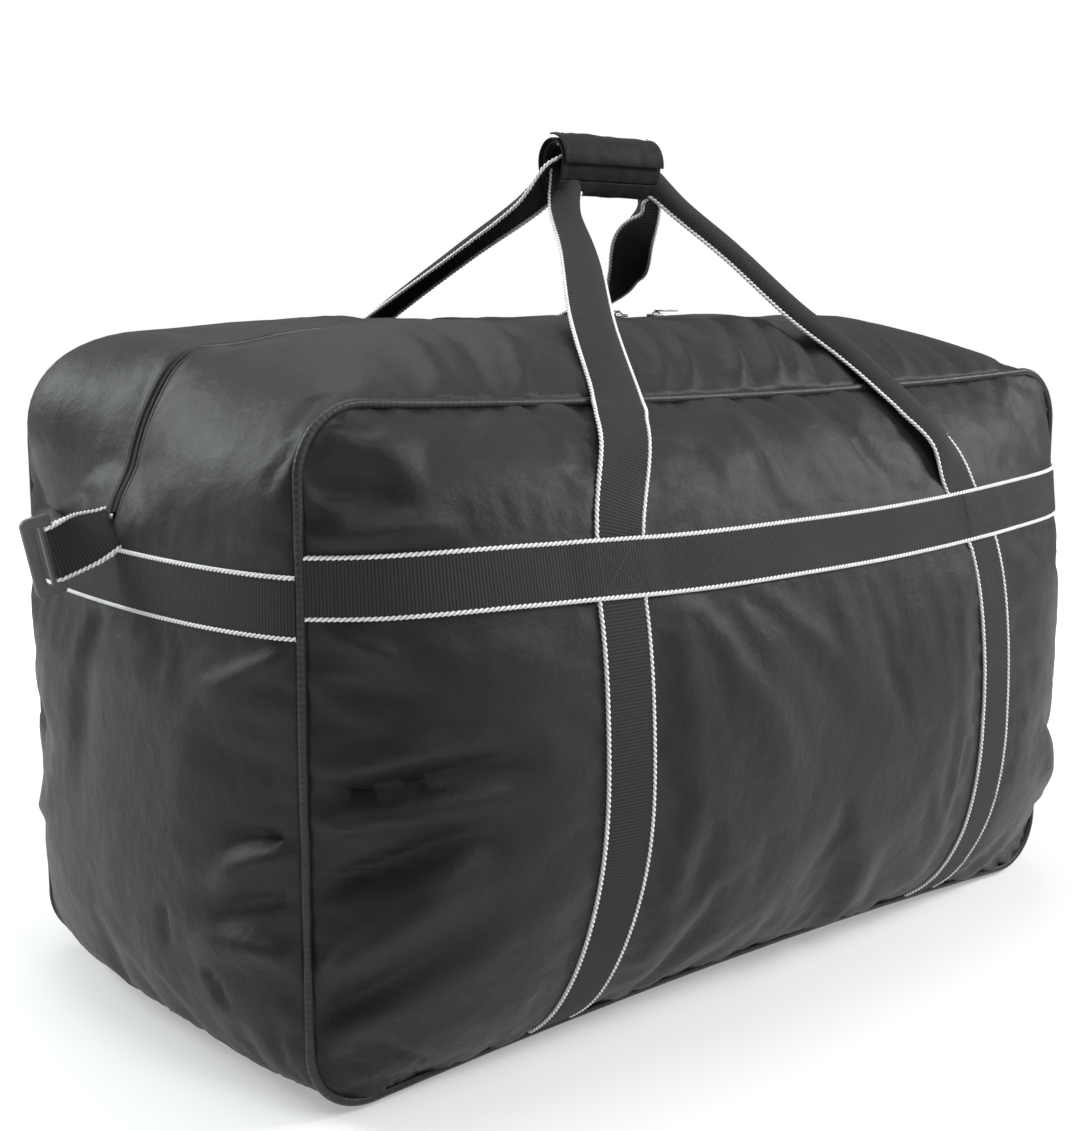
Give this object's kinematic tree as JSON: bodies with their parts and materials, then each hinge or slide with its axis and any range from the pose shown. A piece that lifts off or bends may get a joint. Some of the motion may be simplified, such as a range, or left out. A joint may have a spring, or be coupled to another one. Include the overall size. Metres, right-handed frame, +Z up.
{
  "type": "hockey equipment bag",
  "caption": "Large zipped fabric duffel bag with piped seams, webbing straps, two carry handles joined by a wrapped grip, and a strap ring at each end.",
  "frame": {"origin": "centre of the resting face of the base, on the floor", "axes": "+X along the bag to its right end, -Y the front, +Z up"},
  "size_m": [1.1434, 0.6668, 0.7656],
  "materials": {
    "polyester": "woven, slight sheen",
    "piping": "woven over cord",
    "webbing": "ribbed woven webbing",
    "seam_tape": "matt woven tape",
    "grip_foam": "foam-backed lining",
    "hook_and_loop": "napped",
    "zipper_coil": "matt nylon",
    "zipper_metal": "satin nickel paint",
    "ring_plastic": "satin moulded",
    "webbing_edge": "white woven edge of the webbing"
  },
  "bodies": {
    "bag": {"back_left_handle_leg": "webbing", "back_left_riser": "webbing", "back_panel": "polyester", "back_piping": "piping", "back_right_handle_leg": "webbing", "back_right_riser": "webbing", "back_seam_binding": "seam_tape", "back_waist_strap": "webbing", "base_panel": "polyester", "front_left_handle_leg": "webbing", "front_left_riser": "webbing", "front_panel": "polyester", "front_piping": "piping", "front_right_handle_leg": "webbing", "front_right_riser": "webbing", "front_seam_binding": "seam_tape", "front_waist_strap": "webbing", "left_end_panel": "polyester", "left_end_strap": "webbing", "left_ring_loop": "webbing", "right_end_panel": "polyester", "right_end_strap": "webbing", "right_ring_loop": "webbing", "top_gusset_back": "polyester", "top_gusset_front": "polyester", "zipper_coil_back": "zipper_coil", "zipper_coil_front": "zipper_coil", "zipper_stop_left": "zipper_metal", "zipper_stop_right": "zipper_metal", "zipper_tape_back": "seam_tape", "zipper_tape_front": "seam_tape"},
    "zipper_slider_left": {"zipper_slider_left": "zipper_metal"},
    "zipper_slider_right": {"zipper_slider_right": "zipper_metal"},
    "zipper_pull_left": {"zipper_pull_left": "zipper_metal"},
    "zipper_pull_right": {"zipper_pull_right": "zipper_metal"},
    "left_ring": {"left_strap_ring": "ring_plastic"},
    "right_ring": {"right_strap_ring": "ring_plastic"},
    "grip": {"grip_wrap": "polyester", "grip_pad": "grip_foam", "grip_hook_tape": "hook_and_loop", "front_handle_span": "webbing", "back_handle_span": "webbing"},
    "grip_flap": {"grip_flap": "polyester", "grip_loop_tape": "hook_and_loop"}
  },
  "joints": [
    {"name": "zipper_slide_left", "type": "slide", "parent": "bag", "child": "zipper_slider_left", "axis": [1, 0, 0], "range_m": [-0.262, 0]},
    {"name": "zipper_slide_right", "type": "slide", "parent": "bag", "child": "zipper_slider_right", "axis": [1, 0, 0], "range_m": [0, 0.106]},
    {"name": "pull_flip_left", "type": "hinge", "parent": "zipper_slider_left", "child": "zipper_pull_left", "pos_m": [0.052, 0, 0.6026], "axis": [0, 1, 0], "range_deg": [0, 165]},
    {"name": "pull_flip_right", "type": "hinge", "parent": "zipper_slider_right", "child": "zipper_pull_right", "pos_m": [0.104, 0, 0.6026], "axis": [0, 1, 0], "range_deg": [-165, 0]},
    {"name": "ring_swing_left", "type": "hinge", "parent": "bag", "child": "left_ring", "pos_m": [-0.5445, 0, 0.4185], "axis": [-0.2079, 0, 0.9781], "range_deg": [-75, 75]},
    {"name": "ring_swing_right", "type": "hinge", "parent": "bag", "child": "right_ring", "pos_m": [0.5445, 0, 0.4185], "axis": [0.2079, 0, 0.9781], "range_deg": [-75, 75]},
    {"name": "grip_drop", "type": "slide", "parent": "bag", "child": "grip", "axis": [0, 0, 1], "range_m": [-0.09, 0], "deforming": ["front_left_handle_leg", "front_right_handle_leg", "back_left_handle_leg", "back_right_handle_leg"]},
    {"name": "flap_open", "type": "hinge", "parent": "grip", "child": "grip_flap", "pos_m": [0.005, -0.0315, 0.7647], "axis": [1, 0, 0], "range_deg": [-125, 0]}
  ]
}
